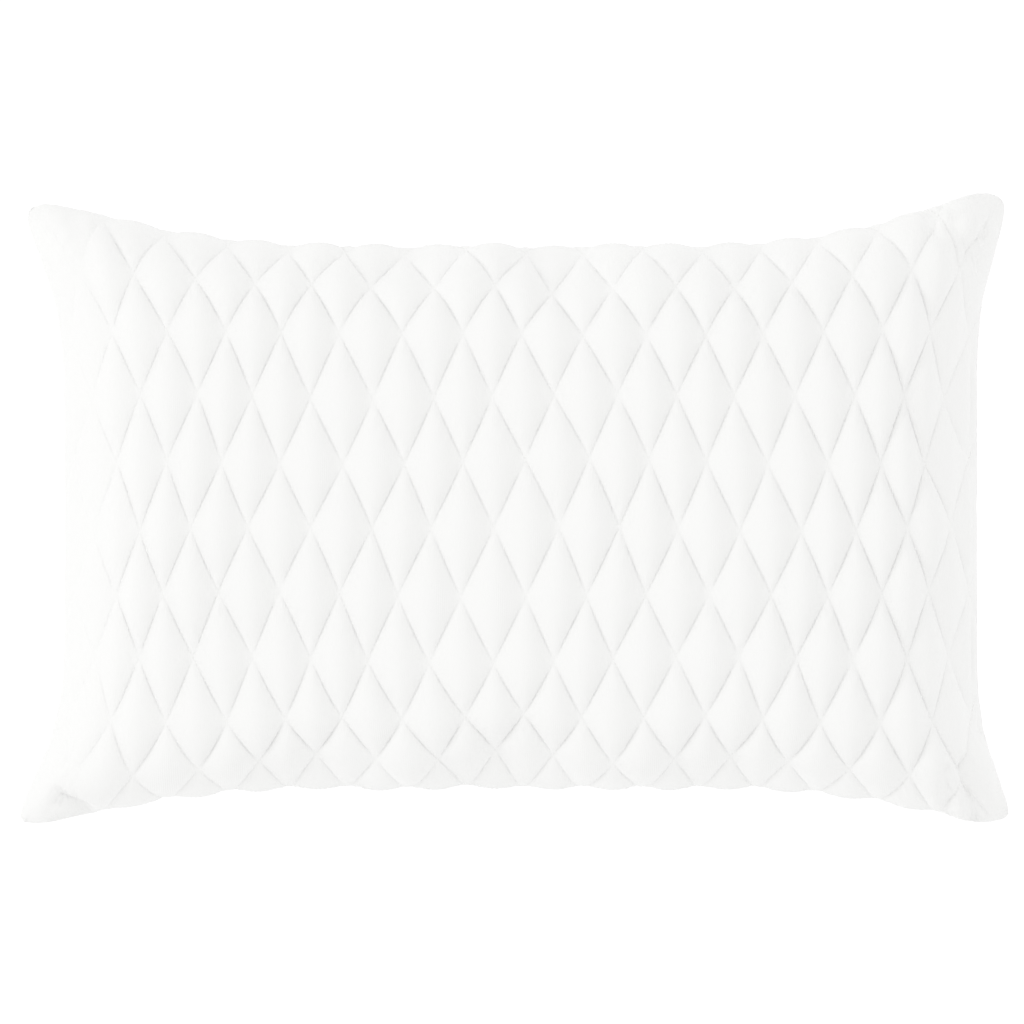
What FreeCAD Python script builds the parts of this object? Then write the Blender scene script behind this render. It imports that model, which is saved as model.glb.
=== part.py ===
import FreeCAD, Part
import math
import os
import Sketcher

# A bed pillow: a quilted cover of two panels joined at a knife-edge seam, a zip in one short side, and an
# inner pillow of shredded foam in its own liner.
# Frame: X along the pillow, Y across it, Z up. The pillow lies flat on its back panel; the origin is under
# its middle, on the surface it rests on. The zip is in the short side at +X.

doc = FreeCAD.newDocument("QuiltedPillow")
sheet = doc.addObject("Spreadsheet::Sheet", "Sizes")

# Driving dimensions in millimetres; shares are plain ratios.
SIZES = [
    # The filled pillow, seen from above at its edge seam.
    ("half_length", 275.0),         # middle of the pillow to the middle of a short side
    ("half_width", 163.5),          # middle of the pillow to the middle of a long side
    ("seam_height", 62.0),          # resting surface to the edge seam
    ("crown_height", 78.0),         # edge seam to the crown
    ("ear_reach_x", 17.5),          # how far a corner stands out past the short side
    ("ear_reach_y", 22.5),          # how far a corner stands out past the long side
    ("ear_radius", 18.0),           # rounding of a corner's tip
    ("ear_fullness", 1.6),          # how much blunter a corner is above and below the seam
    ("ear_crown_reach", 1.0),       # what is left of the reach at the crown
    ("ear_fade", 6.0),              # how fast the corners sink back above and below the seam
    ("straight_x", 110.0),          # half of the straight stretch of a long side
    ("straight_y", 65.0),           # half of the straight stretch of a short side
    ("crown_half_x", 161.5),        # half length of the highest cross-section
    ("crown_half_y", 57.5),         # half width of the highest cross-section
    ("crown_share", 0.97),          # share of the quarter ellipse used above the seam
    ("rest_share", 0.80),           # share used below the seam, where the back lies flat
    ("step_1", 0.12),               # heights of the cross-sections, as shares of the rise
    ("step_2", 0.30),
    ("step_3", 0.52),
    ("step_4", 0.74),
    ("step_5", 0.89),
    ("step_6", 1.00),
    # The cover's layers.
    ("fabric_wall", 0.8),
    ("wadding_wall", 4.0),
    ("lining_wall", 0.5),
    ("layer_gap", 0.3),
    ("allowance_width", 4.0),       # overlocked allowance inside the edge seam
    ("allowance_depth", 3.2),
    # The inner pillow.
    ("inner_room", 2.0),            # between the liner's seam and the slider or the cover's seam allowance
    ("inner_reach_x", 8.0),         # the inner pillow's corners, which don't fill the cover's
    ("inner_reach_y", 12.0),
    ("inner_radius", 4.2),          # rounding of the inner pillow's corners
    ("liner_wall", 0.6),
    ("liner_seam_width", 1.1),
    ("liner_seam_depth", 1.0),
    ("liner_seam_gap", 0.4),
    # The zip: nylon coil on woven tapes, facing out of the short side.
    ("zip_clearance", 0.27),        # between the tapes and the lining, where the lining leans in to them
    ("chain_half", 97.0),           # half of the coil's length
    ("opening_past", 18.0),         # the gap between the panels, past either end of the coil
    ("opening_play", 0.8),          # between the slider's head and the folded edge of a panel
    ("opening_depth", 25.0),        # depth of the gap, through all the layers
    ("tape_wall", 0.6),
    ("tape_width", 11.2),
    ("tape_inner", 1.1),            # edge seam to a tape's inner edge
    ("tape_end", 7.0),              # tape past the end of the gap, turned into the seam
    ("coil_depth", 2.2),
    ("coil_spine", 1.1),
    ("coil_pitch", 1.3),
    ("tooth_width", 0.45),
    ("stop_length", 2.0),
    ("stop_depth", 1.8),
    ("stop_width", 1.5),
    ("stop_gap", 0.3),
    ("stitch_offset", 8.0),         # edge seam to the row of stitching that holds a tape
    ("stitch_radius", 0.2),
    # The slider and its pull.
    ("slider_length", 9.0),
    ("slider_taper", 0.3),          # how much further each side stands out at the head than at the tail
    ("slider_plate", 0.9),
    ("slider_play", 0.3),           # running gap between the plates, the coils and the tapes
    ("flange_wall", 0.7),
    ("flange_play", 0.2),           # between a flange and the coil beside it
    ("nose_length", 1.9),
    ("nose_width", 1.5),
    ("nose_setback", 0.3),
    ("bail_length", 4.6),
    ("bail_width", 1.4),
    ("bail_wire", 0.8),
    ("bail_height", 2.6),
    ("pull_length", 17.0),
    ("pull_width", 4.6),
    ("pull_wall", 1.0),
    ("pull_eye_width", 2.2),
    ("pull_eye_reach", 3.7),        # pivot to the far end of the eye
    ("pull_hole", 2.6),             # hole at the grip end
    # The care label.
    ("label_width", 30.0),
    ("label_drop", 18.0),
    ("label_wall", 0.3),
    ("label_tilt", 14.0),           # degrees, along the slope of the lining
    ("label_place", -60.0),         # its start along the short side at -X
]
for row, (alias, value) in enumerate(SIZES, start=1):
    sheet.set("A%d" % row, alias)
    sheet.set("B%d" % row, str(value))
    sheet.setAlias("B%d" % row, alias)
doc.recompute()

STEPS = ("0", "$step_1", "$step_2", "$step_3", "$step_4", "$step_5", "$step_6")
FRONT = 1
BACK = -1
sub_parts = []


def cell(text):
    """Write the sheet's aliases in an expression in full, so that every object can read them."""
    words = text
    for alias in sorted((name for name, value in SIZES), key=len, reverse=True):
        words = words.replace("$" + alias, "<<Sizes>>." + alias)
    return words


def value_of(text):
    return float(sheet.evalExpression(cell(text)))


def new_body(label):
    body = doc.addObject("PartDesign::Body", label)
    body.Label = label
    sub_parts.append(body)
    return body


def origin_feature(body, role):
    return [item for item in body.Origin.OriginFeatures if item.Role == role][0]


def new_sketch(body, name, role, offset):
    """A sketch on one of the body's own origin planes, moved along the plane's normal by an expression."""
    sketch = body.newObject("Sketcher::SketchObject", name)
    sketch.AttachmentSupport = [(origin_feature(body, role), "")]
    sketch.MapMode = "FlatFace"
    sketch.setExpression(".AttachmentOffset.Base.z", cell(offset))
    return sketch


def bind(sketch, constraint, name, expression):
    index = sketch.addConstraint(constraint)
    sketch.renameConstraint(index, name)
    sketch.setExpression("Constraints." + name, cell(expression))


# The outline.
# A quarter of the pillow seen from above, at one height: a straight stretch of each side, a hollow flare
# towards the corner and the rounded tip of the ear. `rise` is the share of the quarter ellipse climbed at
# that height, from 0 at the edge seam, and `inset` moves the whole outline in, for the inner layers. `ears`
# gives the corners' reach past either side and their rounding, measured at the outside of the cover.

def bow(rise):
    """How far the quarter ellipse has come in at a rise, as a share of its own run."""
    return "(1 - sqrt(1 - (%s)^2))" % rise


EDGE_RUN_X = "(($half_length - $crown_half_x)/%s)" % bow("$crown_share")
EDGE_RUN_Y = "(($half_width - $crown_half_y)/%s)" % bow("$crown_share")
STACK = "($fabric_wall + $wadding_wall + $lining_wall + 2*$layer_gap)"


def lining_lean(share, half_height):
    """How far the lining has leant in at the outer edge of a zip tape, in the upper or the lower half."""
    rise = "(%s*($tape_inner + $tape_width)/(%s - %s))" % (share, half_height, STACK)
    return "%s*%s" % (EDGE_RUN_X, bow(rise))


# Depths below the outside of the cover: the zip's tapes stand clear of the lining where it leans in to them,
# and the inner pillow lies clear of the slider's inner plate and of the cover's seam allowance.
UPPER_LEAN = lining_lean("$crown_share", "$crown_height")
LOWER_LEAN = lining_lean("$rest_share", "$seam_height")
TAPE_DEPTH = "(%s + max(%s; %s) + $zip_clearance)" % (STACK, UPPER_LEAN, LOWER_LEAN)
SLIDER_DEPTH = "(%s + $tape_wall + $slider_play + $slider_plate)" % TAPE_DEPTH
COVER_SEAM = "(%s + $layer_gap)" % STACK
INNER_SEAM = "(max(%s; %s + $allowance_width) + $inner_room)" % (SLIDER_DEPTH, COVER_SEAM)
LINER_SIDE = "(%s + $liner_seam_width + $liner_seam_gap)" % INNER_SEAM
COVER_EARS = ("$ear_reach_x", "$ear_reach_y", "$ear_radius")
INNER_EARS = ("$inner_reach_x", "$inner_reach_y", "($inner_radius + %s)" % LINER_SIDE)


def outline_sizes(rise, inset, ears):
    fade = "((1 - (%s))^$ear_fade)" % rise
    full_x = "($half_length - %s*%s)" % (EDGE_RUN_X, bow(rise))
    full_y = "($half_width - %s*%s)" % (EDGE_RUN_Y, bow(rise))
    reach_x = "($ear_crown_reach + (%s - $ear_crown_reach)*%s)" % (ears[0], fade)
    reach_y = "($ear_crown_reach + (%s - $ear_crown_reach)*%s)" % (ears[1], fade)
    tip = "(%s*%s/$half_width*(1 + $ear_fullness*(1 - %s)))" % (ears[2], full_y, fade)
    return {
        "side_x": "%s - (%s)" % (full_x, inset),
        "side_y": "%s - (%s)" % (full_y, inset),
        "run_x": "$straight_x*%s/$half_length" % full_x,
        "run_y": "$straight_y*%s/$half_width" % full_y,
        "tip_radius": "%s - (%s)" % (tip, inset),
        "tip_x": "%s + %s - %s" % (full_x, reach_x, tip),
        "tip_y": "%s + %s - %s" % (full_y, reach_y, tip),
    }


def quarter_outline(body, name, height, rise, inset, ears):
    sizes = outline_sizes(rise, inset, ears)
    now = {key: value_of(text) for key, text in sizes.items()}
    side_x, side_y = now["side_x"], now["side_y"]
    run_x, run_y = now["run_x"], now["run_y"]
    tip = FreeCAD.Vector(now["tip_x"], now["tip_y"], 0)
    radius = now["tip_radius"]
    flare_x = ((tip.x - side_x) ** 2 + (tip.y - run_y) ** 2 - radius ** 2) / (2 * (tip.x + radius - side_x))
    flare_y = ((tip.y - side_y) ** 2 + (tip.x - run_x) ** 2 - radius ** 2) / (2 * (tip.y + radius - side_y))
    centre_x = FreeCAD.Vector(side_x + flare_x, run_y, 0)
    centre_y = FreeCAD.Vector(run_x, side_y + flare_y, 0)
    turn_x = math.atan2(tip.y - centre_x.y, tip.x - centre_x.x)
    turn_y = math.atan2(tip.y - centre_y.y, tip.x - centre_y.x)

    middle = FreeCAD.Vector(0, 0, 0)
    side_middle_x = FreeCAD.Vector(side_x, 0, 0)
    side_middle_y = FreeCAD.Vector(0, side_y, 0)
    run_end_x = FreeCAD.Vector(side_x, run_y, 0)
    run_end_y = FreeCAD.Vector(run_x, side_y, 0)
    up = FreeCAD.Vector(0, 0, 1)

    sketch = new_sketch(body, name, "XY_Plane", height)
    inner_x = sketch.addGeometry(Part.LineSegment(middle, side_middle_x))
    straight_x = sketch.addGeometry(Part.LineSegment(side_middle_x, run_end_x))
    arc_x = sketch.addGeometry(Part.ArcOfCircle(Part.Circle(centre_x, up, flare_x), turn_x, math.pi))
    ear = sketch.addGeometry(Part.ArcOfCircle(Part.Circle(tip, up, radius), turn_x - math.pi, turn_y + math.pi))
    arc_y = sketch.addGeometry(Part.ArcOfCircle(Part.Circle(centre_y, up, flare_y), -math.pi / 2, turn_y))
    straight_y = sketch.addGeometry(Part.LineSegment(run_end_y, side_middle_y))
    inner_y = sketch.addGeometry(Part.LineSegment(side_middle_y, middle))

    start, end, centre = 1, 2, 3
    sketch.addConstraint([
        Sketcher.Constraint("Coincident", inner_x, start, -1, start),
        Sketcher.Constraint("Coincident", inner_x, end, straight_x, start),
        Sketcher.Constraint("Tangent", straight_x, end, arc_x, end),
        Sketcher.Constraint("Tangent", arc_x, start, ear, start),
        Sketcher.Constraint("Tangent", ear, end, arc_y, end),
        Sketcher.Constraint("Tangent", arc_y, start, straight_y, start),
        Sketcher.Constraint("Coincident", straight_y, end, inner_y, start),
        Sketcher.Constraint("Coincident", inner_y, end, inner_x, start),
        Sketcher.Constraint("Horizontal", inner_x),
        Sketcher.Constraint("Vertical", straight_x),
        Sketcher.Constraint("Horizontal", straight_y),
        Sketcher.Constraint("Vertical", inner_y),
    ])
    bind(sketch, Sketcher.Constraint("DistanceX", -1, start, straight_x, start, side_x), "side_x", sizes["side_x"])
    bind(sketch, Sketcher.Constraint("DistanceY", -1, start, straight_y, end, side_y), "side_y", sizes["side_y"])
    bind(sketch, Sketcher.Constraint("DistanceY", -1, start, straight_x, end, run_y), "run_y", sizes["run_y"])
    bind(sketch, Sketcher.Constraint("DistanceX", -1, start, straight_y, start, run_x), "run_x", sizes["run_x"])
    bind(sketch, Sketcher.Constraint("DistanceX", -1, start, ear, centre, tip.x), "tip_x", sizes["tip_x"])
    bind(sketch, Sketcher.Constraint("DistanceY", -1, start, ear, centre, tip.y), "tip_y", sizes["tip_y"])
    bind(sketch, Sketcher.Constraint("Radius", ear, radius), "tip_radius", sizes["tip_radius"])
    return sketch


def dome(body, name, kind, side, inset, top_inset, ears):
    """A quarter of the pillow's upper or lower half, lofted from the edge seam to the crown or the rest."""
    if side == FRONT:
        share = "$crown_share"
        height = "$seam_height + ($crown_height - (%s))*(%s)"
    else:
        share = "$rest_share"
        height = "$seam_height - ($seam_height - (%s))*(%s)"
    outlines = []
    for number, step in enumerate(STEPS):
        level = height % (top_inset, step)
        rise = "%s*(%s)" % (share, step)
        outline = quarter_outline(body, "%s_outline_%d" % (name, number), level, rise, inset, ears)
        outlines.append(outline)
    doc.recompute()
    loft = body.newObject(kind, name)
    loft.Profile = outlines[0]
    loft.Sections = outlines[1:]
    loft.Ruled = False
    doc.recompute()


def mirror_quarters(body):
    """Turn the finished quarter into the whole by mirroring it across the pillow's two middle planes."""
    whole = body.newObject("PartDesign::MultiTransform", "whole")
    whole.TransformMode = "Whole shape"
    mirrors = []
    for role in ("YZ_Plane", "XZ_Plane"):
        mirror = body.newObject("PartDesign::Mirrored", "across_" + role[:2])
        mirror.MirrorPlane = (origin_feature(body, role), [""])
        mirrors.append(mirror)
    whole.Transformations = mirrors
    body.Tip = whole
    doc.recompute()


def place(item, x, y, z):
    item.setExpression(".Placement.Base.x", cell(x))
    item.setExpression(".Placement.Base.y", cell(y))
    item.setExpression(".Placement.Base.z", cell(z))


def size_box(box, x, y, z):
    box.setExpression("Length", cell(x))
    box.setExpression("Width", cell(y))
    box.setExpression("Height", cell(z))


def body_box(body, name, kind, low, size):
    """A box in a body, added or cut, from its low corner and its size along X, Y and Z."""
    box = body.newObject(kind, name)
    size_box(box, *size)
    place(box, *low)
    return box


def free_box(label, low, size):
    box = doc.addObject("Part::Box", label)
    box.Label = label
    size_box(box, *size)
    place(box, *low)
    sub_parts.append(box)
    return box


# The zip's gap is as high as the slider's head needs, and the slider as wide as the coils it holds.
SLIDER_TAIL = "($tape_inner + $coil_spine + $flange_play + $flange_wall)"
SLIDER_HEAD = "(%s + $slider_taper)" % SLIDER_TAIL
OPENING_RISE = "(%s + $opening_play)" % SLIDER_HEAD
OPENING_HALF = "($chain_half + $opening_past)"


def cut_zip_gap(body, half_run):
    body_box(
        body, "zip_gap", "PartDesign::SubtractiveBox",
        ("$half_length - $opening_depth", "-(%s)" % half_run, "$seam_height - " + OPENING_RISE),
        ("2*$opening_depth", "2*(%s)" % half_run, "2*" + OPENING_RISE))


# The layers.
# Each panel is a face fabric, wadding and a lining, quilted together; the zip's gap runs through all three.
# The inner pillow's liner has no gap. Every layer lies just inside the one before it.

LINER_TOP = "(%s + $layer_gap)" % STACK
FILLING_SIDE = "(%s + $liner_wall + $layer_gap)" % LINER_SIDE
FILLING_TOP = "(%s + $liner_wall + $layer_gap)" % LINER_TOP
PANEL_LAYERS = [
    # name, inset from the pillow's outside, wall
    ("face_fabric", "0", "$fabric_wall"),
    ("wadding", "$fabric_wall + $layer_gap", "$wadding_wall"),
    ("lining", STACK + " - $lining_wall", "$lining_wall"),
]


def half_shell(label, side, inset, top_inset, wall, ears):
    body = new_body(label)
    dome(body, "outside", "PartDesign::AdditiveLoft", side, inset, top_inset, ears)
    inner = "%s + %s" % (inset, wall)
    top_inner = "%s + %s" % (top_inset, wall)
    dome(body, "inside", "PartDesign::SubtractiveLoft", side, inner, top_inner, ears)
    mirror_quarters(body)
    return body


for side, panel in ((FRONT, "front"), (BACK, "back")):
    for layer, inset, wall in PANEL_LAYERS:
        shell = half_shell(panel + "_" + layer, side, inset, inset, wall, COVER_EARS)
        cut_zip_gap(shell, OPENING_HALF)
    half_shell("liner_" + panel, side, LINER_SIDE, LINER_TOP, "$liner_wall", INNER_EARS)

filling = new_body("foam_filling")
dome(filling, "upper", "PartDesign::AdditiveLoft", FRONT, FILLING_SIDE, FILLING_TOP, INNER_EARS)
dome(filling, "lower", "PartDesign::AdditiveLoft", BACK, FILLING_SIDE, FILLING_TOP, INNER_EARS)
mirror_quarters(filling)


# The seams.
# The cover's panels are sewn inside out, so an overlocked allowance stands inside the edge seam all the way
# round, except along the zip. The liner's two panels are closed by a narrow seam of their own.

def seam_ring(label, rise, inset, width, depth, ears):
    """A flat band at the edge seam, with the outline that the pillow has at the given rise."""
    body = new_body(label)
    low = "$seam_height - (%s)/2" % depth
    outer = quarter_outline(body, "outer", low, rise, inset, ears)
    doc.recompute()
    band = body.newObject("PartDesign::Pad", "band")
    band.Profile = outer
    band.setExpression("Length", cell(depth))
    doc.recompute()
    inner = "%s + %s" % (inset, width)
    hollow_outline = quarter_outline(body, "hollow_outline", low + " + " + depth, rise, inner, ears)
    doc.recompute()
    hollow = body.newObject("PartDesign::Pocket", "hollow")
    hollow.Profile = hollow_outline
    hollow.Type = "ThroughAll"
    doc.recompute()
    mirror_quarters(body)
    return body


ALLOWANCE_RISE = "($allowance_depth/$crown_height)"     # a full depth up, so its corners clear the ears
edge_seam = seam_ring(
    "edge_seam", ALLOWANCE_RISE, COVER_SEAM, "$allowance_width", "$allowance_depth", COVER_EARS)
cut_zip_gap(edge_seam, OPENING_HALF + " + $tape_end + 2*$layer_gap")
seam_ring("liner_seam", "0", INNER_SEAM, "$liner_seam_width", "$liner_seam_depth", INNER_EARS)


# The zip.
# Two woven tapes stand behind the folded edges of the panels, one above the edge seam and one below, each
# with a nylon coil along its inner edge. The coils' teeth lie between each other, half a pitch apart.

TAPE_FACE = "($half_length - %s)" % TAPE_DEPTH
TAPE_BACK = "(%s - $tape_wall)" % TAPE_FACE


def above_or_below(side, near, span):
    """Low Z of something that starts `near` the edge seam and spans away from it, on either side."""
    if side == FRONT:
        return "$seam_height + (%s)" % near
    return "$seam_height - (%s) - (%s)" % (near, span)


def zip_tape(label, side):
    half_run = "(%s + $tape_end)" % OPENING_HALF
    free_box(
        label,
        (TAPE_BACK, "-" + half_run, above_or_below(side, "$tape_inner", "$tape_width")),
        ("$tape_wall", "2*" + half_run, "$tape_width"))


def zip_coil(label, side, lead):
    """A coil as a comb: a spine on the tape, and teeth that reach across the zip to the other spine."""
    body = new_body(label)
    body_box(
        body, "spine", "PartDesign::AdditiveBox",
        (TAPE_FACE, "-$chain_half", above_or_below(side, "$tape_inner", "$coil_spine")),
        ("$coil_depth", "2*$chain_half", "$coil_spine"))
    tooth = body_box(
        body, "tooth", "PartDesign::AdditiveBox",
        (TAPE_FACE, "-$chain_half + " + lead, "$seam_height - $tape_inner"),
        ("$coil_depth", "$tooth_width", "2*$tape_inner"))
    doc.recompute()
    teeth = body.newObject("PartDesign::LinearPattern", "teeth")
    teeth.Originals = [tooth]
    teeth.Direction = (origin_feature(body, "Y_Axis"), [""])
    teeth.Mode = "Spacing"
    teeth.setExpression("Offset", cell("$coil_pitch"))
    teeth.setExpression("Occurrences", cell("floor((2*$chain_half - $coil_pitch)/$coil_pitch)"))
    body.Tip = teeth


def stitch_row(label, side):
    thread = doc.addObject("Part::Cylinder", label)
    thread.Label = label
    thread.Placement = FreeCAD.Placement(FreeCAD.Vector(), FreeCAD.Rotation(FreeCAD.Vector(1, 0, 0), -90))
    half_run = "(%s + $tape_end - $layer_gap)" % OPENING_HALF
    thread.setExpression("Radius", cell("$stitch_radius"))
    thread.setExpression("Height", cell("2*" + half_run))
    place(
        thread,
        TAPE_BACK + " - $stitch_radius - $layer_gap/2",
        "-" + half_run,
        above_or_below(side, "$stitch_offset", "0"))
    sub_parts.append(thread)


zip_tape("zip_tape_front", FRONT)
zip_tape("zip_tape_back", BACK)
zip_coil("zip_coil_front", FRONT, "0")
zip_coil("zip_coil_back", BACK, "$coil_pitch/2")
stitch_row("zip_stitching_front", FRONT)
stitch_row("zip_stitching_back", BACK)

# The slider rests at the +Y end, with its nose just past the last tooth, against the two top stops.
NOSE_START = "($chain_half + $stop_gap)"
HEAD_END = "(%s + $nose_length + $nose_setback)" % NOSE_START
TAIL_END = "(%s - $slider_length)" % HEAD_END
STOP_START = "(%s + $stop_gap)" % HEAD_END

top_stops = doc.addObject("Part::Compound", "zip_top_stops")
top_stops.Label = "zip_top_stops"
stop_pair = []
for side, panel in ((FRONT, "front"), (BACK, "back")):
    stop = doc.addObject("Part::Box", "top_stop_" + panel)
    size_box(stop, "$stop_depth", "$stop_length", "$stop_width")
    place(stop, TAPE_FACE, STOP_START, above_or_below(side, "$tape_inner", "$stop_width"))
    stop_pair.append(stop)
top_stops.Links = stop_pair
sub_parts.append(top_stops)

free_box(
    "zip_bottom_stop",
    (TAPE_FACE, "-$chain_half - $stop_gap - $stop_length", "$seam_height - $tape_inner - $coil_spine"),
    ("$coil_depth", "$stop_length", "2*($tape_inner + $coil_spine)"))


# The slider.
# Two plates hold the coils between them, joined at the head by the nose that parts the coils. Flanges on the
# outer plate guide the chain, and a bail on top carries the pull.

OUTER_LOW = "(%s + $coil_depth + $slider_play)" % TAPE_FACE
OUTER_HIGH = "(%s + $slider_plate)" % OUTER_LOW
INNER_HIGH = "(%s - $slider_play)" % TAPE_BACK
INNER_LOW = "(%s - $slider_plate)" % INNER_HIGH
SLIDER_MIDDLE = "(%s - $slider_length/2)" % HEAD_END


def plate(body, name, low):
    """A plate of the slider, wider at the head than at the tail, drawn across the short side."""
    tail, head = value_of(TAIL_END), value_of(HEAD_END)
    seam = value_of("$seam_height")
    tail_half, head_half = value_of(SLIDER_TAIL), value_of(SLIDER_HEAD)
    corners = [
        FreeCAD.Vector(tail, seam - tail_half, 0),
        FreeCAD.Vector(head, seam - head_half, 0),
        FreeCAD.Vector(head, seam + head_half, 0),
        FreeCAD.Vector(tail, seam + tail_half, 0),
    ]
    sketch = new_sketch(body, name + "_outline", "YZ_Plane", low)
    for number in range(4):
        sketch.addGeometry(Part.LineSegment(corners[number], corners[(number + 1) % 4]))
    start, end = 1, 2
    sketch.addConstraint([Sketcher.Constraint("Coincident", n, end, (n + 1) % 4, start) for n in range(4)])
    sketch.addConstraint(Sketcher.Constraint("Vertical", 1))
    sketch.addConstraint(Sketcher.Constraint("Vertical", 3))
    bind(sketch, Sketcher.Constraint("DistanceX", -1, start, 3, start, tail), "tail_end", TAIL_END)
    bind(sketch, Sketcher.Constraint("DistanceX", -1, start, 1, start, head), "head_end", HEAD_END)
    limits = (
        ("tail_top", 3, start, "$seam_height + " + SLIDER_TAIL),
        ("tail_foot", 3, end, "$seam_height - " + SLIDER_TAIL),
        ("head_top", 1, end, "$seam_height + " + SLIDER_HEAD),
        ("head_foot", 1, start, "$seam_height - " + SLIDER_HEAD),
    )
    for limit, edge, point, height in limits:
        bind(sketch, Sketcher.Constraint("DistanceY", -1, start, edge, point, value_of(height)), limit, height)
    doc.recompute()
    pad = body.newObject("PartDesign::Pad", name)
    pad.Profile = sketch
    pad.setExpression("Length", cell("$slider_plate"))
    doc.recompute()


slider = new_body("zip_slider")
plate(slider, "outer_plate", OUTER_LOW)
body_box(
    slider, "nose", "PartDesign::AdditiveBox",
    (INNER_HIGH, NOSE_START, "$seam_height - $nose_width/2"),
    ("%s - %s" % (OUTER_LOW, INNER_HIGH), "$nose_length", "$nose_width"))
doc.recompute()
plate(slider, "inner_plate", INNER_LOW)
flange_low = TAPE_FACE + " + $slider_play"
flange_height = "%s - (%s)" % (OUTER_LOW, flange_low)
for side, panel in ((FRONT, "front"), (BACK, "back")):
    body_box(
        slider, "flange_" + panel, "PartDesign::AdditiveBox",
        (flange_low, TAIL_END, above_or_below(side, "$tape_inner + $coil_spine + $flange_play", "$flange_wall")),
        (flange_height, "$slider_length", "$flange_wall"))
for end_name, low_y in (("tail", "%s - $bail_length/2" % SLIDER_MIDDLE),
                        ("head", "%s + $bail_length/2 - $bail_wire" % SLIDER_MIDDLE)):
    body_box(
        slider, "bail_post_" + end_name, "PartDesign::AdditiveBox",
        (OUTER_HIGH, low_y, "$seam_height - $bail_width/2"),
        ("$bail_height", "$bail_wire", "$bail_width"))
body_box(
    slider, "bail_bridge", "PartDesign::AdditiveBox",
    (OUTER_HIGH + " + $bail_height - $bail_wire", "%s - $bail_length/2" % SLIDER_MIDDLE,
     "$seam_height - $bail_width/2"),
    ("$bail_wire", "$bail_length", "$bail_width"))

# The pull is a flat tag hooked under the bail by the bar at the end of its eye, and pivots on that bar. It
# lies back along the closed coils.
PIVOT_X = "(%s + ($bail_height - $bail_wire)/2)" % OUTER_HIGH
EYE_BAR = "$pull_wall/2"    # radius of the round bar

pull = new_body("zip_pull")
body_box(
    pull, "tag", "PartDesign::AdditiveBox",
    (PIVOT_X + " - $pull_wall/2", "%s - $pull_length" % SLIDER_MIDDLE, "$seam_height - $pull_width/2"),
    ("$pull_wall", "$pull_length", "$pull_width"))
pivot_bar = pull.newObject("PartDesign::AdditiveCylinder", "pivot_bar")
pivot_bar.setExpression("Radius", cell(EYE_BAR))
pivot_bar.setExpression("Height", cell("$pull_width"))
place(pivot_bar, PIVOT_X, SLIDER_MIDDLE, "$seam_height - $pull_width/2")
body_box(
    pull, "eye", "PartDesign::SubtractiveBox",
    (PIVOT_X + " - $pull_wall", "%s - $pull_eye_reach" % SLIDER_MIDDLE, "$seam_height - $pull_eye_width/2"),
    ("2*$pull_wall", "$pull_eye_reach - " + EYE_BAR, "$pull_eye_width"))
grip_hole = pull.newObject("PartDesign::SubtractiveCylinder", "grip_hole")
grip_hole.Placement = FreeCAD.Placement(FreeCAD.Vector(), FreeCAD.Rotation(FreeCAD.Vector(0, 1, 0), 90))
grip_hole.setExpression("Radius", cell("$pull_hole/2"))
grip_hole.setExpression("Height", cell("2*$pull_wall"))
place(grip_hole, PIVOT_X + " - $pull_wall", "%s - $pull_length + $pull_width/2" % SLIDER_MIDDLE, "$seam_height")


# The care label hangs inside the cover from the seam at -X, along the slope of the lining.
label = doc.addObject("Part::Box", "care_label")
label.Label = "care_label"
tilt = FreeCAD.Rotation(FreeCAD.Vector(0, 1, 0), value_of("$label_tilt"))
label.Placement = FreeCAD.Placement(FreeCAD.Vector(), tilt)
size_box(label, "$label_wall", "$label_width", "$label_drop")
place(
    label,
    "-$half_length + %s + $allowance_width + 2*$layer_gap" % STACK,
    "$label_place",
    "$seam_height + $allowance_depth/2 + $layer_gap")
sub_parts.append(label)

doc.recompute()

# Every object has to have worked, and every sub-part has to be a valid shape, before anything is written.
for item in doc.Objects:
    if "Invalid" in item.State or "Error" in item.State:
        raise RuntimeError("%s failed: %s" % (item.Label, item.State))
for item in sub_parts:
    if item.Shape.isNull() or not item.Shape.isValid() or item.Shape.Volume <= 0:
        raise RuntimeError("%s has no valid shape" % item.Label)

os.makedirs("parts", exist_ok=True)
for item in sub_parts:
    item.Shape.exportStep("parts/%s.step" % item.Label)
    solids = len(item.Shape.Solids)
    print("%-22s %2d solid(s) %12.1f mm3" % (item.Label, solids, item.Shape.Volume))
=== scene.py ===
import math

import bmesh
import bpy
import numpy as np
from mathutils import Matrix, Vector, noise


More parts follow.
